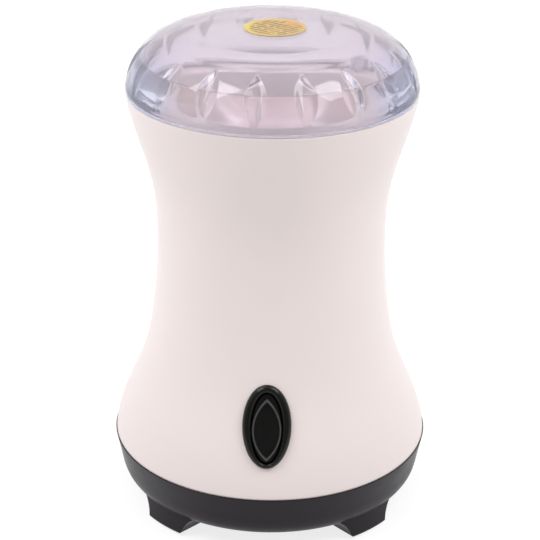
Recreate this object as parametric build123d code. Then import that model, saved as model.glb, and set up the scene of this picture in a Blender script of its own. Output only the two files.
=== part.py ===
from build123d import *
import math
import os

os.makedirs("parts", exist_ok=True)

# Electric spice grinder. Millimetres, +Z up, the switch faces -Y.
# Origin: middle of the stand's footprint, on the table, on the motor's axis.

# ---------------------------------------------------------------- dimensions
Z_FLOOR = 5.6            # underside of the base's floor
FLOOR_T = 1.7
Z_SEAM = 21.7            # base to casing
Z_RIM = 141.84           # top edge of the casing
Z_LID = 141.9            # underside of the lid's wall
Z_TOP = 161.77           # lid's top
WALL = 2.4               # casing wall
R_BASE = 53.0
FOOT_R = 49.7            # foot, outside at the bottom
FOOT_IN = 39.5
FOOT_ANG = (46.2, 133.8, 226.2, 313.8)
PAD_OUT = 0.6            # how far the rubber pads stand out of the feet
SCREW_R = 43.5           # base screws' circle
SCREW_ANG = (20, 160, 200, 340)
GLAND_Z = 14.4           # cord outlet at the back
GLAND_R = 3.2

# casing, outside (radius, height)
CASING = [
    (52.70, 21.70), (51.04, 29.81), (47.93, 37.92), (44.45, 45.97),
    (41.65, 54.08), (39.92, 62.19), (38.83, 70.30), (38.03, 78.41),
    (37.55, 86.47), (37.42, 94.58), (37.68, 102.68), (38.66, 110.79),
    (40.55, 118.90), (43.02, 127.01), (45.36, 135.07), (46.75, 141.84),
]
# base ring, outside
RING = [(53.0, 21.7), (52.25, 18.0), (51.55, 14.5), (50.85, 11.0), (49.86, 8.5), (48.5, 7.0), (47.0, 6.25), (44.8, Z_FLOOR)]
# lid, outside: skirt radius, then arcs (radius, turn in degrees) from the skirt to the flat top
LID_R = 46.75
LID_ARCS = [(1.964, 12.411), (96.37, 1.446), (18.377, 55.246), (31.171, 17.119), (210.763, 3.778)]
LID_WALL = 2.0           # wall of the dome; the side below the crease is thicker
SKIRT_RO, SKIRT_RI, SKIRT_Z = 42.6, 40.7, 135.2
MOUTH_R = 42.9           # casing's mouth, inside
MOUTH_Z = 132.0          # ledge under the bowl's seat
FLUTES = 18
FLUTE_A0 = -95.6         # first groove's angle round Z
FLUTE_R = 6.0
FLUTE_BOW = 0.80         # how far the groove's bottom line bows outward
FLUTE_P0 = (46.53, 145.23)   # groove's bottom line, lower end
FLUTE_P1 = (37.37, 158.27)   # groove's bottom line, upper end
LABEL_R = 9.8
LABEL_T = 0.18
LABEL_X = 0.6

# bowl
BOWL_T = 0.8
BOWL_FLANGE_R = 40.2
BOWL_Z = 140.2           # underside of its flange

# motor
SHAFT_R = 3.0
STATOR_Z0, STATOR_Z1 = 62.0, 84.0
ROTOR_R = 13.9
BORE_R = 14.3
BRUSH_ANG = 35.0
COMM_R = 8.5

# switch, on the slope of the casing's front
SW_Y, SW_Z, SW_TILT = -45.1, 44.4, 22.1
BEZ_A, BEZ_B = 7.85, 13.5        # bezel, half width and half height
BTN_A, BTN_B, BTN_Y = 4.87, 11.1, -0.57
BTN_GAP = 0.35
BTN_TRAVEL = 2.0

# safety interlock, at the back right
LOCK_ANG = 44.0
LOCK_R = 38.05
LOCK_TRAVEL = 2.0


# ---------------------------------------------------------------- helpers
def rz(angle):
    return Rot(0, 0, angle)


def at(r, angle, z=0.0):
    a = math.radians(angle)
    return Pos(r * math.cos(a), r * math.sin(a), z)


def tube(ro, ri, z0, z1):
    s = Pos(0, 0, (z0 + z1) / 2) * Cylinder(ro, z1 - z0)
    if ri:
        s -= Pos(0, 0, (z0 + z1) / 2) * Cylinder(ri, z1 - z0 + 2)
    return s


def rod(r, z0, z1, x=0.0, y=0.0):
    return Pos(x, y, (z0 + z1) / 2) * Cylinder(r, z1 - z0)


def box(x0, x1, y0, y1, z0, z1):
    return Pos((x0 + x1) / 2, (y0 + y1) / 2, (z0 + z1) / 2) * Box(x1 - x0, y1 - y0, z1 - z0)


def turned(points):
    """Solid of revolution of a closed polygon of (r, z)."""
    w = Polyline(*[(r, 0, z) for r, z in points], close=True)
    return revolve(make_face(w), Axis.Z)


def turned_wire(edges):
    return revolve(make_face(Curve() + edges), Axis.Z)


def p3(p):
    return (p[0], 0, p[1])


def line(a, b):
    return Line(p3(a), p3(b))


def spline(points, tangents=None):
    pts = [p3(p) for p in points]
    if tangents:
        return Spline(*pts, tangents=[(t[0], 0, t[1]) for t in tangents])
    return Spline(*pts)


def offset_in(points, d):
    """Points moved by d to the right of the way the list runs."""
    out = []
    n = len(points)
    for i, p in enumerate(points):
        a = points[max(0, i - 1)]
        b = points[min(n - 1, i + 1)]
        tx, tz = b[0] - a[0], b[1] - a[1]
        m = math.hypot(tx, tz)
        out.append((p[0] + d * tz / m, p[1] - d * tx / m))
    return out


def biggest(shape):
    return max(shape.solids(), key=lambda s: s.volume)


def save(shape, name, label=None):
    shape.label = name
    export_step(shape, "parts/%s.step" % name)
    print(name, len(shape.solids()), round(shape.volume, 1))


def group(items):
    solids = []
    for i in items:
        solids += i.solids()
    return Compound(children=solids)


def helix_spring(r, wire, z0, z1, turns, x=0.0, y=0.0):
    h = (z1 - z0) - 2 * wire - 0.02
    path = Helix(pitch=h / turns, height=h, radius=r)
    start = path @ 0
    tangent = path % 0
    sec = Plane(origin=start, z_dir=tangent) * Circle(wire)
    s = sweep(sec, path)
    return Pos(x, y, z0 + wire + 0.01) * s


# ---------------------------------------------------------------- casing
def casing_solid(grow=0.0, z0=None, z1=None):
    pts = offset_in(CASING, grow) if grow else list(CASING)
    if grow:
        pts[0] = (pts[0][0], Z_SEAM)
        pts[-1] = (pts[-1][0], Z_RIM)
    low, high = pts[0][1], pts[-1][1]
    e = [spline(pts), line(pts[-1], (0, high)), line((0, high), (0, low)), line((0, low), pts[0])]
    return turned_wire(e)


casing_outer = casing_solid()
inner_pts = offset_in(CASING, -WALL)
inner_pts = [(inner_pts[0][0], Z_SEAM - 1)] + [p for p in inner_pts[1:] if p[1] < MOUTH_Z - 2]
last = inner_pts[-1]
inner_pts.append((42.15, MOUTH_Z))
casing_inner = turned_wire([
    spline(inner_pts), line((42.15, MOUTH_Z), (MOUTH_R, MOUTH_Z)), line((MOUTH_R, MOUTH_Z), (MOUTH_R, Z_RIM + 1)),
    line((MOUTH_R, Z_RIM + 1), (0, Z_RIM + 1)), line((0, Z_RIM + 1), (0, Z_SEAM - 1)), line((0, Z_SEAM - 1), inner_pts[0]),
])
casing = casing_outer - casing_inner
# rounded lip at the mouth
lip_edges = [e for e in casing.edges().filter_by(GeomType.CIRCLE) if abs(e.center().Z - Z_RIM) < 0.01]
casing = fillet(lip_edges, 0.5)
# ledge and gussets that carry the motor
ledge = tube(36.5, 33.2, 97.6, 99.6) & casing_outer
casing += ledge
for k in range(8):
    g = rz(22.5 + 45 * k) * (box(33.4, 36.6, -0.8, 0.8, 88.0, 97.7)
                             - Pos(33.4, 0, 88.0) * Rot(0, 0, 0) * Rot(0, 17, 0) * Box(3.4, 4, 26))
    casing += biggest(g & casing_outer)
# screw posts
for a in SCREW_ANG:
    post = at(SCREW_R, a) * rod(4.2, 12.2, 44.0)
    low = at(SCREW_R, a) * rod(4.2, 12.2, Z_SEAM + 0.01)
    casing += (post & casing_outer) + low
for a in SCREW_ANG:
    casing -= at(SCREW_R, a) * rod(1.55, 12.0, 27.0)

# ---------------------------------------------------------------- switch frame
tilt = math.radians(SW_TILT)
N = (0, -math.cos(tilt), math.sin(tilt))
SW = Plane(origin=(0, SW_Y, SW_Z), x_dir=(1, 0, 0), z_dir=N)


def oval(a, b, z0, z1, dy=0.0):
    sk = Pos(0, dy, z0) * Ellipse(a, b)
    return extrude(sk, z1 - z0, dir=(0, 0, 1))


casing -= SW * oval(BEZ_A - 0.85, BEZ_B - 0.85, -8, 8)

# bezel: a rounded oval collar on the casing's skin, with a neck through its hole
crown = Pos(0, 0, -45.0) * Rot(90, 0, 0) * Cylinder(46.9, 60)
bez = oval(BEZ_A, BEZ_B, -4, 5) & crown
top_edges = [e for e in bez.edges() if e.center().Z > -2.0 and (e @ 0.5).Z > -2.5]
for size in (1.7, 1.5, 1.35):
    try:
        bez = fillet(top_edges, size)
        print("bezel outer fillet", size)
        break
    except Exception as err:
        print("bezel outer fillet", size, err)
hole = oval(BTN_A + BTN_GAP, BTN_B + BTN_GAP, -9, 8, BTN_Y)
bez_cut = bez - hole
inner_top = [e for e in bez_cut.edges() if (e @ 0.5).Z > 0.5 and abs((e @ 0.5).X) < BTN_A + BTN_GAP + 0.1
             and abs((e @ 0.0).X) < BTN_A + BTN_GAP + 0.1 and abs((e @ 0.5).Y - BTN_Y) < BTN_B + BTN_GAP + 0.1]
try:
    bez_cut = fillet(inner_top, 0.6)
except Exception as err:
    print("bezel inner fillet", err)
bezel_flange = (SW * bez_cut) - casing_solid(0.0)
bezel_flange = biggest(bezel_flange)
neck = SW * (oval(BEZ_A - 0.95, BEZ_B - 0.95, -4.2, 0.6) - hole)
bezel = bezel_flange + neck

# button: an oval plunger with a raised pointed oval on its face and a dished middle


def vesica(w, ya, yb, z):
    ym = (ya + yb) / 2
    a = ThreePointArc((0, ya, z), (w, ym, z), (0, yb, z))
    b = ThreePointArc((0, yb, z), (-w, ym, z), (0, ya, z))
    return make_face(Curve() + [a, b])


btn = oval(BTN_A, BTN_B, -4.6, 0.55, BTN_Y)
front = [e for e in btn.edges() if (e @ 0.5).Z > 0.5]
btn = fillet(front, 0.45)
plate = loft([vesica(4.84, 9.1, -11.5, -0.1), vesica(4.74, 8.9, -11.3, 0.85)], ruled=True)
plate += loft([vesica(4.74, 8.9, -11.3, 0.85), vesica(4.5, 8.5, -10.9, 1.15)], ruled=True)
btn += plate
btn -= loft([vesica(4.28, 8.1, -10.5, 1.3), vesica(3.92, 7.5, -9.9, 0.55)], ruled=True)
btn -= (Pos(0, -1.2, 0.25 + 18.0) * Rot(90, 0, 0) * Cylinder(18.0, 24)) & extrude(vesica(3.92, 7.5, -9.9, 0.0), 0.6, dir=(0, 0, 1))
btn += oval(BTN_A + 1.0, BTN_B + 1.0, -6.0, -4.6, BTN_Y)
btn += Pos(0, 0, -8.0) * Box(4.0, 6.0, 4.0)
btn += Pos(0, 0, -10.2) * Box(3.0, 1.5, 0.8)
button = SW * btn

# carrier behind the button: plate with a guide hole, posts to the casing, arms for the switch
car = Pos(0, 0, -8.9) * Box(17, 28, 1.4)
car -= Pos(0, 0, -9) * Box(4.5, 6.5, 6)
for sx in (-1, 1):
    car += Pos(sx * 4.1, 0, -14.1) * Box(1.4, 16, 9.2)
carrier = SW * car
cavity = casing_inner
for sx in (-1, 1):
    for sy in (-1, 1):
        post = SW * (Pos(sx * 6.9, sy * 12.4, 0) * rod(1.5, -8.6, 6))
        carrier += biggest(post & cavity)

# snap switch, its lever and plunger
sw_body = Pos(0, 0, -19.7) * Box(6.4, 19.8, 10.2)
for y in (-6.5, 6.5):
    sw_body -= Pos(0, y, -21.5) * Rot(0, 90, 0) * Cylinder(1.2, 10)
for sx in (-1, 1):
    ear = Pos(sx * 2.75, -9.0, -13.55) * Box(0.9, 1.8, 2.5)
    sw_body += ear
sw_body -= Pos(0, -9.0, -13.1) * Rot(0, 90, 0) * Cylinder(0.6, 10)
sw_body -= Pos(0, -3.0, -15.8) * Cylinder(0.9, 4.0)
for y in (-8.0, 0.0, 8.0):
    sw_body += Pos(0, y, -26.3) * Box(0.6, 3.2, 3.2)
main_switch = SW * sw_body
lever = Pos(0, -9.0, -13.1) * Rot(0, 90, 0) * Cylinder(0.52, 6.2)
lever += Pos(0, -9.0, -12.15) * Box(4.0, 0.5, 2.1)
lever += Pos(0, -3.0, -11.15) * Box(4.0, 12.5, 0.4)
switch_lever = SW * lever
plunger = Pos(0, -3.0, -13.95) * Cylinder(0.8, 4.2)
switch_plunger = SW * plunger

# ---------------------------------------------------------------- base
ring_pts = list(RING)
base = turned_wire([
    spline(ring_pts), line(ring_pts[-1], (0, Z_FLOOR)), line((0, Z_FLOOR), (0, Z_SEAM)), line((0, Z_SEAM), ring_pts[0]),
])
base = rz(13) * base
base_outer = base
cup = turned([(0, Z_FLOOR + FLOOR_T), (44.6, Z_FLOOR + FLOOR_T), (47.0, 9.6), (48.0, 13.5), (48.0, Z_SEAM + 1), (0, Z_SEAM + 1)])
base -= rz(29) * cup
# lip that centres the casing
base += rz(7) * turned([(48.0, Z_SEAM - 1.5), (49.9, Z_SEAM - 1.5), (49.9, Z_SEAM), (49.1, Z_SEAM + 4.0), (48.0, Z_SEAM + 4.0)])
# feet
foot_profile = make_face(Polyline((FOOT_IN, 0, PAD_OUT), (FOOT_R - 0.5, 0, PAD_OUT), (FOOT_R - 0.15, 0, PAD_OUT + 0.15), (FOOT_R, 0, PAD_OUT + 0.5),
                                  (48.5, 0, 6.9), (47.6, 0, 8.0), (FOOT_IN - 0.5, 0, 7.0), close=True))
foot_ring = revolve(foot_profile, Axis.Z)
side = make_face(Curve() + [
    Line((-6.8, PAD_OUT), (6.8, PAD_OUT)), ThreePointArc((6.8, PAD_OUT), (7.45, PAD_OUT + 0.25), (7.8, PAD_OUT + 0.9)),
    ThreePointArc((7.8, PAD_OUT + 0.9), (9.1, 4.4), (11.6, 6.9)),
    Line((11.6, 6.9), (11.6, 9)), Line((11.6, 9), (-11.6, 9)), Line((-11.6, 9), (-11.6, 6.9)),
    ThreePointArc((-11.6, 6.9), (-9.1, 4.4), (-7.8, PAD_OUT + 0.9)),
    ThreePointArc((-7.8, PAD_OUT + 0.9), (-7.45, PAD_OUT + 0.25), (-6.8, PAD_OUT)),
])
side_solid = extrude(Plane(origin=(30, 0, 0), x_dir=(0, 1, 0), z_dir=(1, 0, 0)) * side, 30)
foot = foot_ring & side_solid
foot = biggest(foot)
for k in range(4):
    before = base.volume
    base += rz(FOOT_ANG[k]) * foot
    print("foot", k, round(base.volume - before, 1), len(base.solids()))
for k in range(4):
    base -= rz(FOOT_ANG[k]) * (box(41.4, 46.6, -6.0, 6.0, 0, 1.8))
# screw bosses
for a in SCREW_ANG:
    base += biggest((at(SCREW_R, a) * rod(5.2, Z_FLOOR, 12.0)) & base_outer)
for a in SCREW_ANG:
    base -= at(SCREW_R, a) * rod(1.75, 0, 20)
    base -= at(SCREW_R, a) * rod(3.6, 0, 9.0)
# vents in the floor
for ring_r, count in ((15.0, 8), (27.0, 16)):
    for k in range(count):
        slot = rz(360.0 / count * (k + 0.5)) * Pos(ring_r, 0, 0) * extrude(SlotOverall(8.0, 2.4), 12)
        base -= slot
# ribs on the floor
for a in (0, 90, 180, 270):
    base += rz(a + 45) * box(5.0, 41.0, -0.8, 0.8, Z_FLOOR + 0.5, Z_FLOOR + FLOOR_T + 2.0)
# cord outlet at the back
base -= Pos(0, 49, GLAND_Z) * Rot(90, 0, 0) * Cylinder(4.6, 14)
base = biggest(base)

pad = box(41.5, 46.5, -5.9, 5.9, 0, 1.75)
pad = fillet(pad.edges().filter_by(Axis.Z), 1.2)
pads = group([rz(FOOT_ANG[k]) * pad for k in range(4)])

screws = []
for a in SCREW_ANG:
    s = rod(3.1, 7.1, 9.0) + rod(1.5, 9.0, 24.0)
    s = s - Pos(0, 0, 7.1) * Box(4.2, 0.8, 2.0) - Pos(0, 0, 7.1) * Box(0.8, 4.2, 2.0)
    screws.append(at(SCREW_R, a) * rz(a) * s)
base_screws = group(screws)

grommet = Pos(0, 48.9, GLAND_Z) * Rot(90, 0, 0) * Cylinder(4.5, 6.2)
grommet += (Pos(0, 50.9, GLAND_Z) * Rot(90, 0, 0) * Cylinder(5.9, 2.2)) - base_outer
grommet += (Pos(0, 46.6, GLAND_Z) * Rot(90, 0, 0) * Cylinder(5.6, 1.8)) - base
grommet = biggest(grommet)
grommet = biggest(grommet - Pos(0, 49.6, GLAND_Z) * Rot(90, 0, 0) * Cylinder(GLAND_R, 14))

capacitor = fillet(box(-9, 9, 29.5, 38.0, Z_FLOOR + FLOOR_T + 2.0, 23.0).edges().filter_by(Axis.Z), 0.8)
capacitor += rod(0.4, Z_FLOOR + FLOOR_T + 0.1, Z_FLOOR + FLOOR_T + 2.2, -6.5, 33.7)
capacitor += rod(0.4, Z_FLOOR + FLOOR_T + 0.1, Z_FLOOR + FLOOR_T + 2.2, 6.5, 33.7)

# ---------------------------------------------------------------- lid
# outside: a vertical skirt, then tangent arcs of (radius, turn in degrees) up to the flat top
LID_RI = 41.0            # straight inner wall at the crease; it narrows to the skirt's inside
zc = Z_TOP - LID_WALL


def arc_chain(r0, z0, turns):
    """Arcs that follow each other tangentially from (r0, z0), starting upward and turning towards the axis.
    Returns (start, middle, end, centre, radius) of each."""
    out, th, p = [], math.pi / 2, (r0, z0)
    for r, a in turns:
        c = (p[0] - r * math.sin(th), p[1] + r * math.cos(th))
        pts = []
        for f in (0.0, 0.5, 1.0):
            t = th + math.radians(a) * f
            pts.append((c[0] + r * math.sin(t), c[1] - r * math.cos(t)))
        out.append((pts[0], pts[1], pts[2], c, r))
        p, th = pts[2], th + math.radians(a)
    return out


turned_by = sum(a for r, a in LID_ARCS)
arcs = arc_chain(LID_R, 0.0, LID_ARCS[:-1] + [(LID_ARCS[-1][0], LID_ARCS[-1][1] + 90.0 - turned_by)])
lift = Z_TOP - arcs[-1][2][1]
arcs = arc_chain(LID_R, lift, LID_ARCS[:-1] + [(LID_ARCS[-1][0], LID_ARCS[-1][1] + 90.0 - turned_by)])
print("lid: skirt to z", round(lift, 3), "flat top r", round(arcs[-1][2][0], 3))


def three(a, b, c):
    return ThreePointArc(p3(a), p3(b), p3(c))


lid_edges = [line((LID_R, Z_LID), arcs[0][0])]
for a in arcs:
    lid_edges.append(three(a[0], a[1], a[2]))
lid_edges += [line(arcs[-1][2], (0, Z_TOP)), line((0, Z_TOP), (0, zc)), line((0, zc), (arcs[-1][2][0], zc))]
inside = []
for k in (4, 3, 2):
    st, mi, en, c, r = arcs[k]
    q = [(c[0] + (x[0] - c[0]) * (r - LID_WALL) / r, c[1] + (x[1] - c[1]) * (r - LID_WALL) / r) for x in (en, mi, st)]
    if k == 2:  # stops at the inner wall
        rr = r - LID_WALL
        lo = math.acos((LID_RI - c[0]) / rr)
        hi = math.atan2(q[0][1] - c[1], q[0][0] - c[0])
        q[1] = (c[0] + rr * math.cos((lo + hi) / 2), c[1] + rr * math.sin((lo + hi) / 2))
        q[2] = (LID_RI, c[1] + rr * math.sin(lo))
    if inside:
        q[0] = inside[-1][2]
    else:
        q[0] = (q[0][0], zc)
    inside.append(q)
    lid_edges.append(three(*q))
z_in = inside[-1][2][1]
lid_edges += [
    line((LID_RI, z_in), (SKIRT_RI, SKIRT_Z)), line((SKIRT_RI, SKIRT_Z), (SKIRT_RO, SKIRT_Z)),
    line((SKIRT_RO, SKIRT_Z), (SKIRT_RO, Z_LID)), line((SKIRT_RO, Z_LID), (LID_R, Z_LID)),
]
lid = turned_wire(lid_edges)
dx, dz = FLUTE_P1[0] - FLUTE_P0[0], FLUTE_P1[1] - FLUTE_P0[1]
m = math.hypot(dx, dz)
ux, uz = dx / m, dz / m
nx, nz = uz, -ux
bend = (m * m / 4 + FLUTE_BOW ** 2) / (2 * FLUTE_BOW)
bx = (FLUTE_P0[0] + FLUTE_P1[0]) / 2 + nx * (FLUTE_BOW - bend)
bz = (FLUTE_P0[1] + FLUTE_P1[1]) / 2 + nz * (FLUTE_BOW - bend)
sect = Plane(origin=(bx + nx * (bend + FLUTE_R), 0, bz + nz * (bend + FLUTE_R)), z_dir=(ux, 0, uz)) * Circle(FLUTE_R)
half = math.degrees(math.asin(m / 2 / bend)) + 7.0
axis = Axis((bx, 0, bz), (0, 1, 0))
sect = sect.rotate(axis, -half)
cutter = revolve(sect, axis, 2 * half)
if abs(cutter.center().Z - bz) < 1e-6 or (cutter.center() - Vector(bx, 0, bz)).dot(Vector(nx, 0, nz)) < 0:
    print("flute cutter: wrong side")
bb = cutter.bounding_box()
print("flute cutter", round(cutter.volume, 1), [round(v, 2) for v in (bb.min.X, bb.max.X, bb.min.Z, bb.max.Z)])
for k in range(FLUTES):
    lid -= rz(FLUTE_A0 + 360.0 / FLUTES * k) * cutter
print("lid after flutes", len(lid.solids()), round(lid.volume, 1))
# tab that presses the interlock pin
tab = rz(LOCK_ANG) * box(36.5, LID_RI + 0.8, -2.4, 2.4, 141.45, 145.2)
lid += tab
lid = biggest(lid)

label = Pos(LABEL_X, 0, Z_TOP + LABEL_T / 2) * Cylinder(LABEL_R, LABEL_T)

# ---------------------------------------------------------------- bowl, seat, interlock
z_b = 110.3
bowl_profile = Curve() + [
    line((5.2, z_b - BOWL_T), (23.2, z_b - BOWL_T)),
    Spline(p3((23.2, z_b - BOWL_T)), p3((28.6, 111.9)), p3((31.15, 117.6)), tangents=[(1, 0, 0), (0.2, 0, 1)]),
    line((31.15, 117.6), (32.75, 125.5)), line((32.75, 125.5), (36.1, 138.6)),
    Spline(p3((36.1, 138.6)), p3((36.62, 139.75)), p3((37.75, BOWL_Z)), tangents=[(0.25, 0, 1), (1, 0, 0)]),
    line((37.75, BOWL_Z), (BOWL_FLANGE_R, BOWL_Z)), line((BOWL_FLANGE_R, BOWL_Z), (BOWL_FLANGE_R, BOWL_Z + BOWL_T)),
    line((BOWL_FLANGE_R, BOWL_Z + BOWL_T), (37.1, BOWL_Z + BOWL_T)),
    Spline(p3((37.1, BOWL_Z + BOWL_T)), p3((35.92, 140.32)), p3((35.32, 138.8)), tangents=[(-1, 0, 0), (-0.25, 0, -1)]),
    line((35.32, 138.8), (31.95, 125.7)), line((31.95, 125.7), (30.35, 117.8)),
    Spline(p3((30.35, 117.8)), p3((28.0, 112.5)), p3((23.0, z_b)), tangents=[(-0.2, 0, -1), (-1, 0, 0)]),
    line((23.0, z_b), (5.2, z_b)), line((5.2, z_b), (5.2, z_b - BOWL_T)),
]
bowl = revolve(make_face(bowl_profile), Axis.Z)
bowl -= at(LOCK_R, LOCK_ANG) * rod(1.3, 135, 145)

seat = turned([(36.7, MOUTH_Z - 0.98), (36.7, 138.2), (37.9, BOWL_Z - 0.05), (40.3, BOWL_Z - 0.05), (40.3, 135.0), (MOUTH_R - 0.05, 134.6),
               (MOUTH_R - 0.05, MOUTH_Z), (42.0, MOUTH_Z), (42.0, MOUTH_Z - 0.98)])
seat = seat & casing_inner
seat -= at(LOCK_R, LOCK_ANG) * rod(1.2, 120, 145)
seat -= at(LOCK_R, LOCK_ANG) * rod(1.75, 133.5, 145)
for s in (-1, 1):
    cheek = rz(LOCK_ANG) * box(34.5, 37.2, min(s * 5.65, s * 6.8), max(s * 5.65, s * 6.8), 119.0, MOUTH_Z - 0.9)
    seat += cheek
    seat += rz(LOCK_ANG) * box(34.5, 37.2, min(s * 5.65, s * 6.8), max(s * 5.65, s * 6.8), MOUTH_Z - 1.2, MOUTH_Z)
for k in range(24):
    a = LOCK_ANG + 15 * (k + 0.5)
    if k in (0, 23):
        continue
    seat -= rz(a) * box(37.4, 41.0, -3.6, 3.6, MOUTH_Z - 2, 134.0)
    seat -= rz(a) * box(37.4, 39.0, -3.6, 3.6, MOUTH_Z - 2, 137.4)
seat = biggest(seat)

pin = rod(0.9, 127.6, 141.25) + rod(1.55, 136.0, 136.8)
pin = Pos(LOCK_R, 0, 0) * pin + box(34.8, 38.9, -1.2, 1.2, 127.2, 128.2)
interlock_pin = rz(LOCK_ANG) * pin
interlock_spring = at(LOCK_R, LOCK_ANG) * helix_spring(1.22, 0.19, 133.5, 136.0, 3.5)
lk = box(33.9, 37.2, -5.6, 5.6, 119.0, 126.0)
lk -= rod(0.75, 124.5, 127, 35.6, 0)
lk += box(35.2, 36.0, -4.2, -3.4, 116.4, 119.1) + box(35.2, 36.0, 3.4, 4.2, 116.4, 119.1)
interlock_switch = rz(LOCK_ANG) * lk
interlock_plunger = rz(LOCK_ANG) * rod(0.65, 124.6, 127.1, 35.6, 0)

# ---------------------------------------------------------------- motor, turning
shaft = rod(SHAFT_R, 22.0, 118.0)
shaft = chamfer(shaft.edges(), 0.4)
rotor = tube(ROTOR_R, SHAFT_R, STATOR_Z0, STATOR_Z1)
winding = tube(12.3, 4.2, STATOR_Z1, STATOR_Z1 + 6.5) + tube(12.3, 4.2, STATOR_Z0 - 6.0, STATOR_Z0)
winding = fillet([e for e in winding.edges().filter_by(GeomType.CIRCLE)
                  if abs(e.radius - 12.3) < 0.01 and (e.center().Z > STATOR_Z1 + 1 or e.center().Z < STATOR_Z0 - 1)], 2.4)
for k in range(12):
    rotor -= rz(30 * k) * box(8.2, 12.4, -1.25, 1.25, 40, 100)
    rotor -= rz(30 * k) * box(8.2, 15.0, -0.5, 0.5, 40, 100)
    winding += rz(30 * k) * box(8.3, 12.25, -1.2, 1.2, STATOR_Z0 - 0.5, STATOR_Z1 + 0.5)
commutator = tube(COMM_R, SHAFT_R, 44.0, 55.0)
commutator = chamfer([e for e in commutator.edges().filter_by(GeomType.CIRCLE) if e.radius > COMM_R - 0.1], 0.5)
for k in range(24):
    commutator -= rz(15 * k) * box(COMM_R - 0.5, COMM_R + 1, -0.2, 0.2, 43, 56)
fan = tube(6.0, SHAFT_R, 24.0, 33.0) + tube(19.5, 5.5, 31.4, 32.6)
blade_arc = [Pos(0, 0, 0)]
for k in range(9):
    sk = make_face(Polyline((5.2, -0.7), (19.0, -4.4), (19.2, -3.3), (5.2, 0.7), close=True))
    fan += rz(40 * k) * Pos(0, 0, 25.0) * extrude(sk, 7.0)
fan = biggest(fan)
seal = turned([(SHAFT_R, 111.7), (4.9, 111.7), (5.6, 111.45), (5.9, 111.6), (5.0, 112.6), (5.0, 113.0), (SHAFT_R, 113.0)])

# blade: a bar with two arms bent upward, edges bevelled
bl = make_face(Polyline((-27, 0, 116.6), (-9, 0, 113.0), (9, 0, 113.0), (27, 0, 116.6), (26.75, 0, 117.8), (8.9, 0, 114.2),
                        (-8.9, 0, 114.2), (-26.75, 0, 117.8), close=True))
blade = extrude(bl, 5.5, both=True)
plan = make_face(Polyline((-28, -2.4), (-10, -5.2), (0, -5.4), (10, -3.6), (28, -3.4), (28, 2.4), (10, 5.2), (0, 5.4),
                          (-10, 3.6), (-28, 3.4), close=True))
blade = blade & (Pos(0, 0, 110) * extrude(plan, 12))
blade -= rod(SHAFT_R, 110, 120)
blade = rz(-4) * biggest(blade)
nut = Pos(0, 0, 114.2) * extrude(RegularPolygon(5.2, 6), 3.4)
nut += turned([(0, 117.5), (4.3, 117.5), (4.3, 117.8), (3.9, 118.8), (2.4, 119.8), (0, 120.1)])
nut -= rod(SHAFT_R, 110, 118.0)
nut = rz(28) * nut

# ---------------------------------------------------------------- motor, fixed
stack = Pos(0, 0, STATOR_Z0) * extrude(Circle(28) - Circle(23), STATOR_Z1 - STATOR_Z0)
poles = (box(-8, 8, -24, 24, STATOR_Z0, STATOR_Z1) - rod(16, STATOR_Z0 - 1, STATOR_Z1 + 1))
wedge = make_face(Polyline((0, 0), (24, 17.5), (24, 30), (-24, 30), (-24, 17.5), close=True))
shoe = tube(18.1, BORE_R, STATOR_Z0, STATOR_Z1) & (Pos(0, 0, STATOR_Z0) * extrude(wedge, STATOR_Z1 - STATOR_Z0))
stator = stack + poles + shoe + rz(180) * shoe
flat_cut = box(26.2, 30, -30, 30, 50, 100)
stator = stator - flat_cut - rz(180) * flat_cut - rod(BORE_R, 50, 100)
for a in (90, 270):
    stator -= at(25.5, a) * rod(0.9, 50, 100)
SX = 24.4                                  # motor screws' distance from the axis
for s in (-1, 1):
    stator -= rod(1.6, 50, 100, s * SX, 0)
stator = biggest(stator)
coils = []
for a in (0, 180):
    c = tube(22.6, 18.4, STATOR_Z0 - 5.2, STATOR_Z1 + 5.2)
    c = c & box(-14.6, 14.6, 5, 30, STATOR_Z0 - 5.2, STATOR_Z1 + 5.2)
    c -= box(-8.2, 8.2, 5, 30, STATOR_Z0 - 0.2, STATOR_Z1 + 0.2)
    c = biggest(c)
    long = [e for e in c.edges() if abs(abs((e @ 0.5).X) - 14.6) < 0.3 and (e @ 0.5).Z > STATOR_Z0 + 2 and (e @ 0.5).Z < STATOR_Z1 - 2]
    coils.append(rz(a) * c)
field_coils = group(coils)

damper = tube(34.7, 33.3, 99.6, 101.0)
br = tube(34.6, 0, 101.0, 103.6) + tube(9.0, 0, 97.6, 109.3) + tube(5.0, 0, 109.0, 111.2)
for k in range(6):
    br -= rz(30 + 60 * k) * Pos(20.5, 0, 100) * extrude(SlotOverall(17, 7), 6)
for s in (-1, 1):
    br += rod(3.3, STATOR_Z1, 102.0, s * SX, 0)
    br -= rod(1.6, 80, 110, s * SX, 0)
    br -= rod(3.2, 102.2, 110, s * SX, 0)
br -= rod(5.0, 90, 107.6)
br -= rod(3.4, 90, 120)
upper_bracket = biggest(br)
upper_bearing = tube(4.98, SHAFT_R + 0.05, 98.6, 107.6)

lb = box(-28, 28, -6, 6, 37.5, 40.0)
lb += rz(BRUSH_ANG) * box(-26, 26, -5, 5, 37.5, 40.0)
lb += rod(7.5, 34.2, 42.0)
for s in (-1, 1):
    lb += rod(3.0, 39.0, STATOR_Z0, s * SX, 0)
    lb -= rod(1.25, 36, 70, s * SX, 0)
lb -= rod(5.0, 34.7, 50)
lb -= rod(3.4, 30, 50)
lower_bracket = biggest(lb)
lower_bearing = tube(4.98, SHAFT_R + 0.05, 34.8, 41.6)

mscrews = []
for s in (-1, 1):
    q = rod(1.2, 38.5, 102.2, s * SX, 0) + rod(2.9, 102.2, 104.2, s * SX, 0)
    q -= Pos(s * SX, 0, 104.0) * Box(4.0, 0.8, 1.6)
    mscrews.append(q)
motor_screws = group(mscrews)

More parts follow.
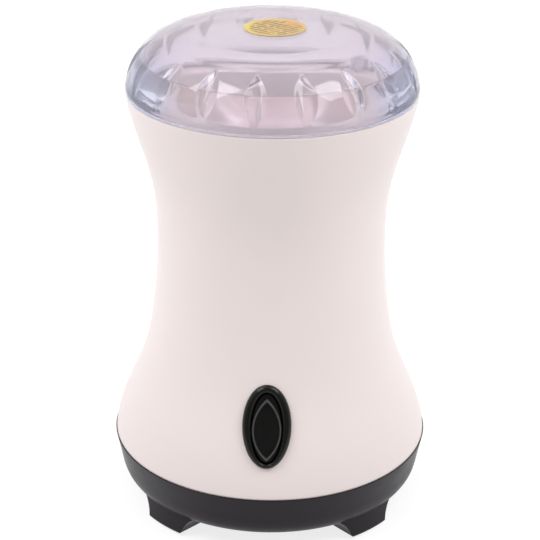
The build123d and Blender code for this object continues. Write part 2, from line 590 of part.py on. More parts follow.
holders, brushes, bsprings = [], [], []
for a in (BRUSH_ANG, BRUSH_ANG + 180):
    h = box(11.0, 25.0, -3.7, 3.7, 45.4, 53.6) - box(10, 24.0, -2.6, 2.6, 46.4, 52.6) - box(10, 24.0, -0.6, 0.6, 52, 55)
    h += box(12.0, 24.0, -3.0, 3.0, 40.0, 45.5)
    holders.append(rz(a) * h)
    b = box(7.6, 19.0, -2.5, 2.5, 46.5, 52.5) - rod(COMM_R + 0.08, 40, 60)
    brushes.append(rz(a) * biggest(b))
    sp = helix_spring(1.7, 0.25, 0, 5.0, 5)
    bsprings.append(rz(a) * Pos(19.0, 0, 49.5) * Rot(0, 90, 0) * sp)
brush_holders = group(holders)
carbon_brushes = group(brushes)
brush_springs = group(bsprings)


# ---------------------------------------------------------------- write
save(base, "base")
save(pads, "foot_pads")
save(base_screws, "base_screws")
save(biggest(casing), "outer_casing")
save(grommet, "cord_grommet")
save(capacitor, "suppression_capacitor")
save(biggest(bezel), "switch_bezel")
save(biggest(button), "push_button")
save(biggest(carrier), "switch_carrier")
save(biggest(main_switch), "main_switch")
save(biggest(switch_lever), "switch_lever")
save(switch_plunger, "switch_plunger")
save(lid, "lid")
save(label, "lid_label")
save(bowl, "grinding_bowl")
save(seat, "bowl_seat")
save(interlock_pin, "interlock_pin")
save(interlock_spring, "interlock_spring")
save(biggest(interlock_switch), "interlock_switch")
save(interlock_plunger, "interlock_plunger")
save(shaft, "motor_shaft")
save(rotor, "rotor_core")
save(biggest(winding), "armature_winding")
save(biggest(commutator), "commutator")
save(fan, "cooling_fan")
save(seal, "shaft_seal")
save(blade, "blade")
save(nut, "blade_nut")
save(stator, "stator_core")
save(field_coils, "field_coils")
save(damper, "motor_damper")
save(upper_bracket, "upper_bracket")
save(upper_bearing, "upper_bearing")
save(lower_bracket, "lower_bracket")
save(lower_bearing, "lower_bearing")
save(motor_screws, "motor_screws")
save(brush_holders, "brush_holders")
save(carbon_brushes, "carbon_brushes")
save(brush_springs, "brush_springs")
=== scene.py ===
import bpy, bmesh, math, random
from mathutils import Vector, Matrix


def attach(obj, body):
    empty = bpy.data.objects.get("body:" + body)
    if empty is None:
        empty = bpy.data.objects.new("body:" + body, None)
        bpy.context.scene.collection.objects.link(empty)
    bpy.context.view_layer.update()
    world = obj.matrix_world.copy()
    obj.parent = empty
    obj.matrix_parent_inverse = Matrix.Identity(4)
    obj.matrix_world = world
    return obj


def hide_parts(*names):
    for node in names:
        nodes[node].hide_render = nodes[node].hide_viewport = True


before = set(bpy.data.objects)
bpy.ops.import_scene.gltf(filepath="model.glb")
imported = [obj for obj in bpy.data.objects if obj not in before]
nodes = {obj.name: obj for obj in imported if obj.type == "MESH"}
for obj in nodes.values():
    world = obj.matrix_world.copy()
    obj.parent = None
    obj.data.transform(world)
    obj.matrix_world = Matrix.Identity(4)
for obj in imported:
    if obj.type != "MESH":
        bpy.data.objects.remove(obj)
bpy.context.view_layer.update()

scene = bpy.context.scene
scene.view_settings.view_transform = "Standard"
scene.view_settings.look = "None"
scene.cycles.max_bounces = 20
scene.cycles.transmission_bounces = 16
scene.cycles.glossy_bounces = 10
scene.cycles.diffuse_bounces = 6

MM = 0.001


# ------------------------------------------------------------------ shading helpers
class Mat:
    """A small builder for one node material."""

    def __init__(self, name):
        self.m = bpy.data.materials.new(name)
        self.m.use_nodes = True
        self.nt = self.m.node_tree
        self.bsdf = next(n for n in self.nt.nodes if n.type == "BSDF_PRINCIPLED")
        self.out = next(n for n in self.nt.nodes if n.type == "OUTPUT_MATERIAL")

    def set(self, **kw):
        for k, v in kw.items():
            s = self.bsdf.inputs[k.replace("_", " ")]
            if hasattr(s.default_value, "__len__") and len(s.default_value) == 4 and len(v) == 3:
                v = (*v, 1.0)
            s.default_value = v
        return self

    def node(self, kind, **kw):
        n = self.nt.nodes.new(kind)
        for k, v in kw.items():
            setattr(n, k, v)
        return n

    def link(self, a, b):
        self.nt.links.new(a, b)

    def coords(self, scale=(1, 1, 1), rot=(0, 0, 0)):
        tc = self.node("ShaderNodeTexCoord")
        mp = self.node("ShaderNodeMapping")
        mp.inputs["Scale"].default_value = scale
        mp.inputs["Rotation"].default_value = rot
        self.link(tc.outputs["Object"], mp.inputs["Vector"])
        return mp.outputs["Vector"]

    def noise(self, scale, detail=4.0, rough=0.55, vec=None, dist=0.0):
        n = self.node("ShaderNodeTexNoise")
        n.inputs["Scale"].default_value = scale
        n.inputs["Detail"].default_value = detail
        n.inputs["Roughness"].default_value = rough
        n.inputs["Distortion"].default_value = dist
        self.link(vec or self.coords(), n.inputs["Vector"])
        return n.outputs["Fac"]

    def ramp(self, fac, stops):
        r = self.node("ShaderNodeValToRGB")
        cr = r.color_ramp
        while len(cr.elements) < len(stops):
            cr.elements.new(0.5)
        for e, (p, c) in zip(cr.elements, stops):
            e.position = p
            e.color = (*c, 1.0) if len(c) == 3 else c
        self.link(fac, r.inputs["Fac"])
        return r.outputs["Color"]

    def span(self, fac, lo, hi, a=0.0, b=1.0):
        r = self.node("ShaderNodeMapRange")
        r.inputs["From Min"].default_value = lo
        r.inputs["From Max"].default_value = hi
        r.inputs["To Min"].default_value = a
        r.inputs["To Max"].default_value = b
        self.link(fac, r.inputs["Value"])
        return r.outputs["Result"]

    def math(self, op, a, b=0.0, clamp=False):
        n = self.node("ShaderNodeMath", operation=op)
        n.use_clamp = clamp
        for i, v in enumerate((a, b)):
            if isinstance(v, (int, float)):
                n.inputs[i].default_value = v
            else:
                self.link(v, n.inputs[i])
        return n.outputs[0]

    def mix(self, fac, a, b):
        n = self.node("ShaderNodeMix", data_type="RGBA")
        for s, v in ((n.inputs["Factor"], fac), (n.inputs["A"], a), (n.inputs["B"], b)):
            if isinstance(v, (int, float)):
                s.default_value = v
            elif isinstance(v, tuple):
                s.default_value = (*v, 1.0)
            else:
                self.link(v, s)
        return n.outputs["Result"]

    def bump(self, height, strength, dist, edge=0.0):
        b = self.node("ShaderNodeBump")
        if edge:  # softened edges, as moulded or tumbled parts have
            soft = self.node("ShaderNodeBevel", samples=6)
            soft.inputs["Radius"].default_value = edge
            self.link(soft.outputs["Normal"], b.inputs["Normal"])
        b.inputs["Strength"].default_value = strength
        b.inputs["Distance"].default_value = dist
        self.link(height, b.inputs["Height"])
        self.link(b.outputs["Normal"], self.bsdf.inputs["Normal"])
        return b


def moulded(name, col, rough, grain=900.0, grain_d=0.00001, var=0.04, rvar=0.06, spec=0.5, coat=0.0, coat_r=0.1, edge=0.0002):
    """Moulded plastic: slight tone drift, fine grain, patches that are a little more or less glossy."""
    m = Mat(name)
    m.set(Roughness=rough, Specular_IOR_Level=spec)
    if coat:
        m.set(Coat_Weight=coat, Coat_Roughness=coat_r)
    big = m.noise(38.0, 3.0)
    a = tuple(max(0.0, c * (1 - var)) for c in col)
    b = tuple(min(1.0, c * (1 + var)) for c in col)
    m.link(m.ramp(big, [(0.3, a), (0.7, b)]), m.bsdf.inputs["Base Color"])
    mid = m.noise(140.0, 5.0, 0.6)
    m.link(m.span(mid, 0.3, 0.7, rough - rvar, rough + rvar), m.bsdf.inputs["Roughness"])
    fine = m.noise(grain, 3.0, 0.6)
    m.bump(fine, 0.35, grain_d, edge)
    return m


def metal(name, col, rough, scale=(1, 1, 1), freq=600.0, depth=0.000006, var=0.08, rvar=0.08):
    """Bare metal with drawn, turned or rolled lines along the stretched axis."""
    m = Mat(name)
    m.set(Metallic=1.0, Roughness=rough)
    v = m.coords(scale)
    lines = m.noise(freq, 4.0, 0.6, vec=v)
    tone = m.noise(60.0, 3.0, vec=m.coords())
    a = tuple(c * (1 - var) for c in col)
    b = tuple(min(1.0, c * (1 + var)) for c in col)
    m.link(m.ramp(tone, [(0.3, a), (0.7, b)]), m.bsdf.inputs["Base Color"])
    m.link(m.span(lines, 0.3, 0.7, rough - rvar, rough + rvar), m.bsdf.inputs["Roughness"])
    m.bump(lines, 0.3, depth)
    return m


def dress(node, mat):
    o = nodes[node]
    o.data.materials.clear()
    o.data.materials.append(mat.m if isinstance(mat, Mat) else mat)


# ------------------------------------------------------------------ mesh helpers
def new_object(name, verts, faces, body, smooth=True):
    me = bpy.data.meshes.new(name)
    me.from_pydata(verts, [], faces)
    me.validate()
    me.update()
    o = bpy.data.objects.new(name, me)
    scene.collection.objects.link(o)
    if smooth:
        me.polygons.foreach_set("use_smooth", [True] * len(me.polygons))
    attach(o, body)
    return o


def catmull(points, n):
    """n points, evenly spaced by length, on a smooth curve through (r, z) points."""
    P = [Vector((p[0], p[1], 0)) for p in points]
    out = []
    for i in range(len(P) - 1):
        p0 = P[i - 1] if i else P[0] * 2 - P[1]
        p1, p2 = P[i], P[i + 1]
        p3 = P[i + 2] if i + 2 < len(P) else P[-1] * 2 - P[-2]
        t0 = 0.0
        t1 = t0 + max(1e-9, (p1 - p0).length) ** 0.5
        t2 = t1 + max(1e-9, (p2 - p1).length) ** 0.5
        t3 = t2 + max(1e-9, (p3 - p2).length) ** 0.5
        for k in range(24):
            t = t1 + (t2 - t1) * k / 24
            a1 = p0 * ((t1 - t) / (t1 - t0)) + p1 * ((t - t0) / (t1 - t0))
            a2 = p1 * ((t2 - t) / (t2 - t1)) + p2 * ((t - t1) / (t2 - t1))
            a3 = p2 * ((t3 - t) / (t3 - t2)) + p3 * ((t - t2) / (t3 - t2))
            b1 = a1 * ((t2 - t) / (t2 - t0)) + a2 * ((t - t0) / (t2 - t0))
            b2 = a2 * ((t3 - t) / (t3 - t1)) + a3 * ((t - t1) / (t3 - t1))
            out.append(b1 * ((t2 - t) / (t2 - t1)) + b2 * ((t - t1) / (t2 - t1)))
    out.append(P[-1])
    L = [0.0]
    for a, b in zip(out, out[1:]):
        L.append(L[-1] + (b - a).length)
    res, j = [], 0
    for i in range(n):
        d = L[-1] * i / (n - 1)
        while j < len(L) - 2 and L[j + 1] < d:
            j += 1
        f = (d - L[j]) / max(1e-12, L[j + 1] - L[j])
        q = out[j].lerp(out[j + 1], min(1.0, max(0.0, f)))
        res.append((q.x, q.y))
    return res


# ------------------------------------------------------------------ the lid
LID_R, Z_LID, Z_TOP = 46.75, 141.90, 161.77
LID_ARCS = [(1.964, 12.411), (96.37, 1.446), (18.377, 55.246), (31.171, 17.119), (210.763, 3.778)]
WALL, RI_TOP, RI_LOW = 2.0, 41.0, 40.7


def arc_chain(r0, z0, turns):
    """Arcs that follow each other tangentially from (r0, z0), starting upward and turning towards the axis: (start angle, turn, centre, radius, start point, end point)."""
    out, th, p = [], math.pi / 2, (r0, z0)
    for r, a in turns:
        c = (p[0] - r * math.sin(th), p[1] + r * math.cos(th))
        t = th + math.radians(a)
        e = (c[0] + r * math.sin(t), c[1] - r * math.cos(t))
        out.append((th, math.radians(a), c, r, p, e))
        p, th = e, t
    return out


def along(arc, n, shrink=0.0, skip=0):
    th, a, c, r, _, _ = arc
    return [(c[0] + (r - shrink) * math.sin(th + a * i / n), c[1] - (r - shrink) * math.cos(th + a * i / n)) for i in range(skip, n + 1)]


fixed = LID_ARCS[:-1] + [(LID_ARCS[-1][0], LID_ARCS[-1][1] + 90.0 - sum(q[1] for q in LID_ARCS))]
lift = Z_TOP - arc_chain(LID_R, 0.0, fixed)[-1][5][1]
ARCS = arc_chain(LID_R, lift, fixed)
FLUTES, FLUTE_A0, FLUTE_R = 18, -95.6, 6.0
FLUTE_Z0, FLUTE_Z1 = 143.9, 158.3               # heights of the groove's pointed ends
FLUTE_W = 3.35                                  # half its width half way up
FLUTE_EASE = 0.05                               # softness of the groove's edge
LOCK = math.radians(44.0)


def lid_mesh(name, inner, nphi=1080, flute_in=0.0):
    """Closed shell of the lid. inner is the inside profile from the centre of the ceiling to the skirt's inner bottom edge."""
    outer = along(ARCS[0], 6) + along(ARCS[1], 10, skip=1) + along(ARCS[2], 84, skip=1) + along(ARCS[3], 34, skip=1) + along(ARCS[4], 14, skip=1)
    rings = [("skirt", p) for p in [(40.72, 135.4), (40.80, 135.27), (40.95, 135.2), (42.35, 135.2), (42.52, 135.27), (42.6, 135.45), (42.6, 138.5), (42.6, 141.7), (42.65, 141.85), (42.8, 141.9), (44.5, 141.9),
                                    (46.45, 141.9), (46.65, 141.96), (46.73, 142.1), (46.75, 142.3), (46.75, 143.1)]]
    # how far along the groove each outer ring lies, -1 to 1, and which way the surface faces there
    run = [0.0]
    for p, q in zip(outer, outer[1:]):
        run.append(run[-1] + math.hypot(q[0] - p[0], q[1] - p[1]))
    lo = next(run[k] for k, p in enumerate(outer) if p[1] >= FLUTE_Z0)
    hi = next(run[k] for k, p in enumerate(outer) if p[1] >= FLUTE_Z1)
    along_groove, facing = [], []
    for k, p in enumerate(outer):
        a, b = outer[max(0, k - 1)], outer[min(len(outer) - 1, k + 1)]
        tx, tz = b[0] - a[0], b[1] - a[1]
        m = math.hypot(tx, tz)
        facing.append((tz / m, -tx / m))
        along_groove.append((run[k] - (lo + hi) / 2) / ((hi - lo) / 2))
    rings += [(k, p) for k, p in enumerate(outer)]
    rings += [("top", (r, 161.77)) for r in (8.5, 5.5, 2.5, 0.8)]
    verts, faces = [], []
    step = 2 * math.pi / FLUTES
    a0 = math.radians(FLUTE_A0)
    for kind, (r, z) in rings:
        for i in range(nphi):
            ph = 2 * math.pi * i / nphi
            rr, zz = r, z
            if isinstance(kind, int) and abs(along_groove[kind]) < 1.0:
                d = (ph - a0 + step / 2) % step - step / 2
                px, py = r * math.cos(d), r * math.sin(d)
                wide = FLUTE_W * (1.0 - along_groove[kind] ** 2)
                if abs(py) < wide + 0.8:
                    over = (wide * wide - py * py) / (2 * FLUTE_R)
                    push = 0.5 * (over + math.sqrt(over * over + FLUTE_EASE ** 2))
                    push *= min(1.0, wide / 0.8) * min(1.0, (wide + 0.8 - abs(py)) / 0.6)
                    if push > 1e-5:
                        px -= facing[kind][0] * push
                        zz = z - facing[kind][1] * push
                        rr = math.hypot(px, py)
                        ang = ph - d + math.atan2(py, px)
                        verts.append((rr * MM * math.cos(ang), rr * MM * math.sin(ang), zz * MM))
                        continue
            verts.append((rr * MM * math.cos(ph), rr * MM * math.sin(ph), zz * MM))
    n_out = len(rings)
    for j in range(n_out - 1):
        for i in range(nphi):
            a, b = j * nphi + i, j * nphi + (i + 1) % nphi
            faces.append((a, b, b + nphi, a + nphi))
    top = len(verts)
    verts.append((0, 0, 161.77 * MM))
    for i in range(nphi):
        faces.append(((n_out - 1) * nphi + i, (n_out - 1) * nphi + (i + 1) % nphi, top))
    # inside, from the ceiling's centre outward and down
    start = len(verts)
    verts.append((0, 0, inner[0][1] * MM))
    base0 = len(verts)
    for r, z in inner[1:]:
        for i in range(nphi):
            ph = 2 * math.pi * i / nphi
            verts.append((r * MM * math.cos(ph), r * MM * math.sin(ph), z * MM))
    for i in range(nphi):
        faces.append((start, base0 + (i + 1) % nphi, base0 + i))
    m = len(inner) - 1
    for j in range(m - 1):
        for i in range(nphi):
            a, b = base0 + j * nphi + i, base0 + j * nphi + (i + 1) % nphi
            faces.append((a, b, b + nphi, a + nphi))
    last = base0 + (m - 1) * nphi
    for i in range(nphi):
        faces.append((last + i, last + (i + 1) % nphi, (i + 1) % nphi, i))
    return verts, faces


def offset(points, d):
    out = []
    for i, p in enumerate(points):
        a, b = points[max(0, i - 1)], points[min(len(points) - 1, i + 1)]
        tx, tz = b[0] - a[0], b[1] - a[1]
        m = math.hypot(tx, tz)
        out.append((p[0] + d * tz / m, p[1] - d * tx / m))
    return out


# the inside: a straight wall from the skirt up, a crease, then a ceiling that follows the outside
c, r = ARCS[2][2], ARCS[2][3] - WALL
meet = math.acos((RI_TOP - c[0]) / r)
side = [(c[0] + r * math.cos(t), c[1] + r * math.sin(t)) for t in [(ARCS[2][0] + ARCS[2][1] - math.pi / 2) * (1 - i / 60) + meet * i / 60 for i in range(61)]]
inner = [(0, Z_TOP - WALL), (1.0, Z_TOP - WALL), (5.0, Z_TOP - WALL), (9.0, Z_TOP - WALL)]
inner += list(reversed(along(ARCS[4], 14, WALL))) + list(reversed(along(ARCS[3], 34, WALL)))[1:] + side[1:]
z_in = inner[-1][1]
inner[-1] = (RI_TOP - 0.12, z_in + 0.12)
inner += [(RI_TOP - 0.03, z_in - 0.02), (RI_TOP, z_in - 0.25), (RI_TOP, z_in - 1.0)]
inner += [(RI_TOP + (RI_LOW - RI_TOP) * k / 6, z_in - 1.0 + (136.0 - z_in + 1.0) * k / 6) for k in range(1, 7)]
verts, faces = lid_mesh("lid_shell", inner)
lid = new_object("lid_shell", verts, faces, "lid")
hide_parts("lid")


def bevelled_box(name, x0, x1, y0, y1, z0, z1, angle, bevel, body, segments=3):
    """A block with rounded edges, turned round Z by angle; millimetres."""
    bm = bmesh.new()
    bmesh.ops.create_cube(bm, size=1.0)
    for v in bm.verts:
        v.co = Vector(((x0 + x1) / 2 + v.co.x * (x1 - x0), (y0 + y1) / 2 + v.co.y * (y1 - y0), (z0 + z1) / 2 + v.co.z * (z1 - z0))) * MM
    bmesh.ops.bevel(bm, geom=list(bm.edges), offset=bevel * MM, segments=segments, profile=0.5, affect="EDGES")
    bmesh.ops.rotate(bm, verts=bm.verts, cent=(0, 0, 0), matrix=Matrix.Rotation(angle, 3, "Z"))
    bmesh.ops.recalc_face_normals(bm, faces=bm.faces)
    me = bpy.data.meshes.new(name)
    bm.to_mesh(me)
    bm.free()
    me.polygons.foreach_set("use_smooth", [True] * len(me.polygons))
    o = bpy.data.objects.new(name, me)
    scene.collection.objects.link(o)
    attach(o, body)
    return o


# the tab that presses the interlock pin, standing in from the lid's wall
tab = bevelled_box("lid_tab", 36.5, 40.84, -2.4, 2.4, 141.45, 145.2, LOCK, 0.35, "lid")

# ------------------------------------------------------------------ materials
# clear moulded plastic with a faint violet cast, bluer towards its left and right (±X); a little milky, with fine
# handling marks. Painted shade: the tint darkens toward the top of the lid.
clear = Mat("lid_clear")
clear.set(IOR=1.45, Transmission_Weight=0.87, Specular_IOR_Level=0.5)
pos = clear.coords()
sep = clear.node("ShaderNodeSeparateXYZ")
clear.link(pos, sep.inputs["Vector"])
wave = clear.math("MULTIPLY_ADD", clear.noise(55.0, 2.0, vec=pos), 0.004)
wave.node.inputs[2].default_value = -0.002
up = clear.span(clear.math("ADD", sep.outputs["Z"], wave), 0.142, 0.158)
# painted shade: this tint darkens from about 151 mm up to the top at 158 mm
front = clear.ramp(up, [(0.0, (0.895, 0.855, 0.925)), (0.55, (0.920, 0.870, 0.905)), (0.80, (0.845, 0.780, 0.840)), (1.0, (0.812, 0.740, 0.812))])
flank = clear.ramp(up, [(0.0, (0.715, 0.745, 0.940)), (0.55, (0.765, 0.780, 0.930)), (1.0, (0.815, 0.750, 0.825))])
wide = clear.math("ABSOLUTE", clear.math("ADD", sep.outputs["X"], clear.math("MULTIPLY", clear.math("SUBTRACT", clear.noise(40.0, 2.0, vec=pos), 0.5), 0.012)))
clear.link(clear.mix(clear.span(wide, 0.026, 0.042), front, flank), clear.bsdf.inputs["Base Color"])
smudge = clear.noise(85.0, 4.0, 0.6, vec=pos, dist=0.4)
clear.link(clear.span(smudge, 0.35, 0.75, 0.030, 0.075), clear.bsdf.inputs["Roughness"])
flow = clear.noise(26.0, 2.0, vec=clear.coords((1.0, 1.0, 2.5)))
calm = clear.span(sep.outputs["Z"], 0.1440, 0.1490)
clear.bump(clear.math("MULTIPLY", clear.math("SUBTRACT", flow, 0.5), calm), 0.10, 0.00025)
lid.data.materials.append(clear.m)
tab.data.materials.append(clear.m)

white = moulded("shell_white", (0.757, 0.673, 0.662), 0.33, var=0.01, rvar=0.04, grain=1500.0, grain_d=0.000004, spec=0.34, edge=0.0008)
# painted shade: the casing's colour is about 4% darker toward its foot, blending in from 66 mm down to 34 mm
tone = white.bsdf.inputs["Base Color"].links[0].from_socket
sep = white.node("ShaderNodeSeparateXYZ")
white.link(white.coords(), sep.inputs["Vector"])
white.link(white.mix(white.span(sep.outputs["Z"], 0.034, 0.066, 1.0, 0.0), tone, (0.728, 0.647, 0.637)), white.bsdf.inputs["Base Color"])
dress("outer_casing", white)
char = moulded("base_charcoal", (0.0074, 0.0056, 0.0082), 0.37, spec=0.26, var=0.08, rvar=0.05, grain=1800.0, grain_d=0.000012, edge=0.0007)
char.set(Specular_Tint=(0.95, 0.87, 0.97))
dress("base", char)
gloss = moulded("bezel_black", (0.0040, 0.0040, 0.0026), 0.12, spec=0.27, var=0.1, rvar=0.03, grain=1200.0, grain_d=0.000002, edge=0.0013)
dress("switch_bezel", gloss)
btn = moulded("button_black", (0.0022, 0.0022, 0.0020), 0.30, spec=0.22, var=0.1, rvar=0.05, grain=2200.0, grain_d=0.000006, edge=0.00025)
# painted highlight: the raised rim round the button's dish is coloured greyer than the rest, standing in for the light
# it catches
bdot = btn.node("ShaderNodeVectorMath", operation="DOT_PRODUCT")
btn.link(btn.coords(), bdot.inputs[0])
bdot.inputs[1].default_value = (0.0, -0.92653, 0.37622)
rise = btn.math("ADD", btn.math("SUBTRACT", bdot.outputs["Value"], 0.05849), btn.math("MULTIPLY", btn.math("SUBTRACT", btn.noise(900.0, 3.0), 0.5), 0.00012))
rim_painted_highlight = btn.span(rise, 0.00078, 0.00108)
btn.link(btn.mix(rim_painted_highlight, btn.ramp(btn.noise(38.0, 3.0), [(0.3, (0.0020, 0.0020, 0.0018)), (0.7, (0.0025, 0.0025, 0.0022))]), (0.060, 0.060, 0.058)), btn.bsdf.inputs["Base Color"])
dress("push_button", btn)
rub = moulded("rubber_black", (0.012, 0.012, 0.012), 0.7, spec=0.3, var=0.15, rvar=0.08, grain=1500.0, grain_d=0.00002)
for n in ("foot_pads", "cord_grommet", "shaft_seal", "motor_damper"):
    dress(n, rub)
steel = metal("bowl_steel", (0.985, 0.912, 0.890), 0.54, scale=(1, 1, 12), var=0.03)
# pressed steel. Painted reflection: its colour has a pinkish cast and is warmer and brighter on the upper wall, above
# about 118 to 134 mm, standing in for the bright surroundings it reflects
bsep = steel.node("ShaderNodeSeparateXYZ")
steel.link(steel.coords(), bsep.inputs["Vector"])
upper_wall_painted_reflection = steel.span(steel.math("ADD", bsep.outputs["Z"], steel.math("MULTIPLY", steel.noise(30.0, 2.0), 0.004)), 0.118, 0.134)
bcol = steel.mix(upper_wall_painted_reflection, (0.990, 0.920, 0.915), (1.0, 0.960, 0.920))
steel.link(steel.mix(steel.span(steel.noise(200.0, 4.0), 0.3, 0.7), bcol, steel.mix(upper_wall_painted_reflection, (0.960, 0.890, 0.882), (0.985, 0.940, 0.900))), steel.bsdf.inputs["Base Color"])
turned = steel.node("ShaderNodeTangent", direction_type="RADIAL", axis="Z")
steel.link(turned.outputs["Tangent"], steel.bsdf.inputs["Tangent"])
steel.set(Anisotropic=0.6)
dress("grinding_bowl", steel)
bladem = metal("blade_steel", (0.66, 0.65, 0.65), 0.24, scale=(14, 1, 1), var=0.04, rvar=0.06)
dress("blade", bladem)
seatm = moulded("seat_plastic", (0.80, 0.76, 0.75), 0.4)
dress("bowl_seat", seatm)
inner_black = moulded("inner_black", (0.03, 0.03, 0.032), 0.45)
for n in ("switch_carrier", "upper_bracket"):
    dress(n, inner_black)
greyp = moulded("grey_plastic", (0.25, 0.26, 0.28), 0.45)
for n in ("suppression_capacitor", "main_switch", "interlock_switch"):
    dress(n, greyp)
redp = moulded("red_plastic", (0.4, 0.03, 0.02), 0.4)
for n in ("switch_plunger", "interlock_plunger"):
    dress(n, redp)
brownp = moulded("brown_plastic", (0.10, 0.06, 0.045), 0.4)
dress("interlock_pin", brownp)
fanp = moulded("fan_plastic", (0.66, 0.62, 0.52), 0.45)
dress("cooling_fan", fanp)
zinc = metal("zinc_steel", (0.62, 0.62, 0.60), 0.32)
for n in ("base_screws", "motor_screws", "lower_bracket", "switch_lever", "interlock_spring", "brush_springs"):
    dress(n, zinc)
ground = metal("ground_steel", (0.80, 0.77, 0.76), 0.34, scale=(1, 1, 14), var=0.03, rvar=0.05)
dress("motor_shaft", ground)
dress("blade_nut", ground)
lam = metal("lamination", (0.22, 0.23, 0.25), 0.45, scale=(0.2, 0.2, 30), freq=300.0, depth=0.00004)
dress("stator_core", lam)
dress("rotor_core", lam)
cop = metal("copper_wire", (0.62, 0.22, 0.09), 0.35, scale=(0.2, 0.2, 6), freq=500.0, depth=0.00008)
for n in ("field_coils", "armature_winding", "commutator"):
    dress(n, cop)
bra = metal("brass", (0.72, 0.54, 0.26), 0.32)
for n in ("brush_holders", "upper_bearing", "lower_bearing"):
    dress(n, bra)
gra = moulded("graphite", (0.03, 0.03, 0.032), 0.5)
dress("carbon_brushes", gra)

# the label: yellow film, rows of short brown dashes as a plain pattern, a warm patch at one side, a bare rim
lab = Mat("label")
lab.set(Roughness=0.42, Specular_IOR_Level=0.4)
lv = lab.coords(rot=(0, 0, math.radians(-37)))
brick = lab.node("ShaderNodeTexBrick", offset=0.37, offset_frequency=2)
for k, v in (("Scale", 1.0), ("Mortar Size", 0.00042), ("Mortar Smooth", 0.1), ("Bias", 0.0), ("Brick Width", 0.0095), ("Row Height", 0.00180)):
    brick.inputs[k].default_value = v
brick.inputs["Color1"].default_value = (0.0, 0.0, 0.0, 1.0)
brick.inputs["Color2"].default_value = (0.35, 0.35, 0.35, 1.0)
brick.inputs["Mortar"].default_value = (1.0, 1.0, 1.0, 1.0)
lab.link(lv, brick.inputs["Vector"])
lc = lab.coords()
lsep = lab.node("ShaderNodeSeparateXYZ")
lab.link(lc, lsep.inputs["Vector"])
dx = lab.math("SUBTRACT", lsep.outputs["X"], 0.0010)
dy = lab.math("SUBTRACT", lsep.outputs["Y"], -0.0008)
rad = lab.math("SQRT", lab.math("ADD", lab.math("MULTIPLY", dx, dx), lab.math("MULTIPLY", dy, dy)))
edge = lab.math("ADD", rad, lab.math("MULTIPLY", lab.noise(260.0, 2.0), 0.0010))
bare = lab.span(edge, 0.0084, 0.0091, 0.0, 1.0)
gaps = lab.span(lab.noise(820.0, 1.0), 0.36, 0.44, 0.40, 1.0)
print_ink = lab.math("MULTIPLY", lab.math("MULTIPLY", lab.math("SUBTRACT", 1.0, brick.outputs["Color"]), gaps), lab.math("SUBTRACT", 1.0, bare), clamp=True)
warm_x = lab.math("SUBTRACT", lsep.outputs["X"], 0.0062)
warm_y = lab.math("SUBTRACT", lsep.outputs["Y"], 0.0042)
warm = lab.span(lab.math("SQRT", lab.math("ADD", lab.math("MULTIPLY", warm_x, warm_x), lab.math("MULTIPLY", lab.math("MULTIPLY", warm_y, warm_y), 2.2))), 0.0014, 0.0044, 1.0, 0.0)
film = lab.mix(lab.span(lab.noise(170.0, 3.0), 0.3, 0.7), (0.480, 0.320, 0.130), (0.53, 0.365, 0.115))
film = lab.mix(lab.span(lsep.outputs["X"], -0.0040, -0.0085), film, (0.56, 0.43, 0.105))
film = lab.mix(warm, film, (0.60, 0.285, 0.105))
film = lab.mix(lab.math("MULTIPLY", print_ink, lab.span(warm, 0.0, 1.0, 0.92, 0.35)), film, (0.105, 0.070, 0.036))
lab.link(film, lab.bsdf.inputs["Base Color"])
lab.link(lab.span(lab.noise(420.0, 3.0), 0.3, 0.7, 0.34, 0.5), lab.bsdf.inputs["Roughness"])
lab.bump(print_ink, 0.25, 0.00002)
dress("lid_label", lab)

# ------------------------------------------------------------------ stage
bpy.ops.mesh.primitive_grid_add(x_subdivisions=2, y_subdivisions=2, size=12.0, location=(0, 0, -0.0002))
floor = bpy.context.object
floor.name = "floor"
fm = Mat("floor_paper")
fm.set(Base_Color=(0.22, 0.22, 0.22), Roughness=0.9, Emission_Color=(1.0, 1.0, 1.0), Emission_Strength=0.80)
fm.link(fm.ramp(fm.noise(3.0, 2.0), [(0.3, (0.21, 0.21, 0.21)), (0.7, (0.23, 0.23, 0.23))]), fm.bsdf.inputs["Base Color"])
floor.data.materials.append(fm.m)

world = bpy.data.worlds.new("studio")
scene.world = world
world.use_nodes = True
wn = world.node_tree
bg = wn.nodes["Background"]
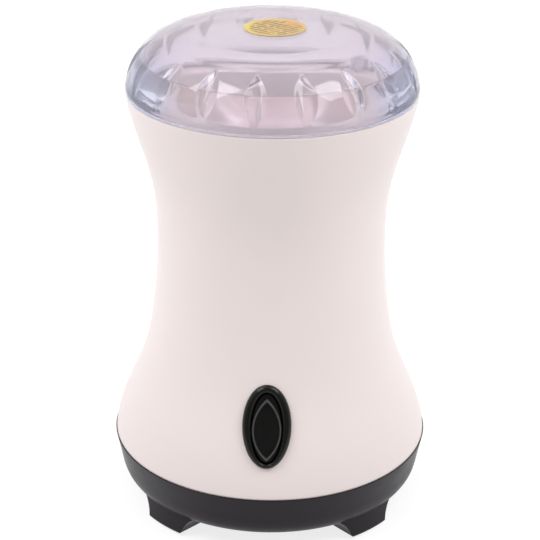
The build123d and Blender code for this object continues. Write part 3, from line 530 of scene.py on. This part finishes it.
# a white tent: brighter behind and at the sides, dimmer in front, where the camera stands
wtc = wn.nodes.new("ShaderNodeTexCoord")
wsep = wn.nodes.new("ShaderNodeSeparateXYZ")
wn.links.new(wtc.outputs["Generated"], wsep.inputs["Vector"])
wramp = wn.nodes.new("ShaderNodeMapRange")
wramp.interpolation_type = "SMOOTHSTEP"
wramp.inputs["From Min"].default_value = -1.0
wramp.inputs["From Max"].default_value = 0.35
wramp.inputs["To Min"].default_value = 0.28
wramp.inputs["To Max"].default_value = 0.86
wn.links.new(wsep.outputs["Y"], wramp.inputs["Value"])
wup = wn.nodes.new("ShaderNodeMapRange")
wup.interpolation_type = "SMOOTHSTEP"
wup.inputs["From Min"].default_value = 0.35
wup.inputs["From Max"].default_value = 0.95
wup.inputs["To Min"].default_value = 1.0
wup.inputs["To Max"].default_value = 1.65
wn.links.new(wsep.outputs["Z"], wup.inputs["Value"])
wmul = wn.nodes.new("ShaderNodeMath")
wmul.operation = "MULTIPLY"
wn.links.new(wramp.outputs["Result"], wmul.inputs[0])
wn.links.new(wup.outputs["Result"], wmul.inputs[1])
wn.links.new(wmul.outputs[0], bg.inputs["Strength"])
bg.inputs["Color"].default_value = (1.0, 1.0, 1.0, 1.0)


def softbox(name, loc, target, size, power, color=(1, 1, 1), size_y=None):
    d = bpy.data.lights.new(name, "AREA")
    d.shape = "RECTANGLE"
    d.size, d.size_y = size, size_y or size
    d.energy = power
    d.color = color
    o = bpy.data.objects.new(name, d)
    scene.collection.objects.link(o)
    o.location = loc
    o.rotation_mode = "QUATERNION"
    o.rotation_quaternion = (Vector(target) - Vector(loc)).to_track_quat("-Z", "Y")
    return o


softbox("key_left", (-0.66, -0.30, 1.10), (0, 0, 0.12), 0.54, 6.3, size_y=0.56)
softbox("key_right", (0.70, -0.28, 1.08), (0, 0, 0.12), 0.56, 6.3, size_y=0.60)
softbox("left", (-1.1, -0.30, 0.55), (0, 0, 0.08), 0.8, 0.4)
softbox("right", (1.1, -0.30, 0.55), (0, 0, 0.08), 0.8, 0.15)

# ------------------------------------------------------------------ camera, fitted to the outline
TURN = math.radians(1.2)
D, H, PITCH, ROLL = 0.52102, 0.31365, 0.42390, 0.0082
cam_d = bpy.data.cameras.new("camera")
cam = bpy.data.objects.new("camera", cam_d)
scene.collection.objects.link(cam)
cam_d.sensor_width = 36.0
cam_d.lens = 1716.5 / 540 * 36
cam_d.shift_x = -1.05 / 540
cam_d.clip_start, cam_d.clip_end = 0.01, 50
cam.location = (D * math.sin(TURN), -D * math.cos(TURN), H)
fwd = Vector((-math.sin(TURN) * math.cos(PITCH), math.cos(TURN) * math.cos(PITCH), -math.sin(PITCH)))
q = fwd.to_track_quat("-Z", "Y")
cam.rotation_mode = "QUATERNION"
cam.rotation_quaternion = q @ Matrix.Rotation(ROLL, 4, "Z").to_quaternion()
scene.camera = cam

bpy.context.view_layer.update()
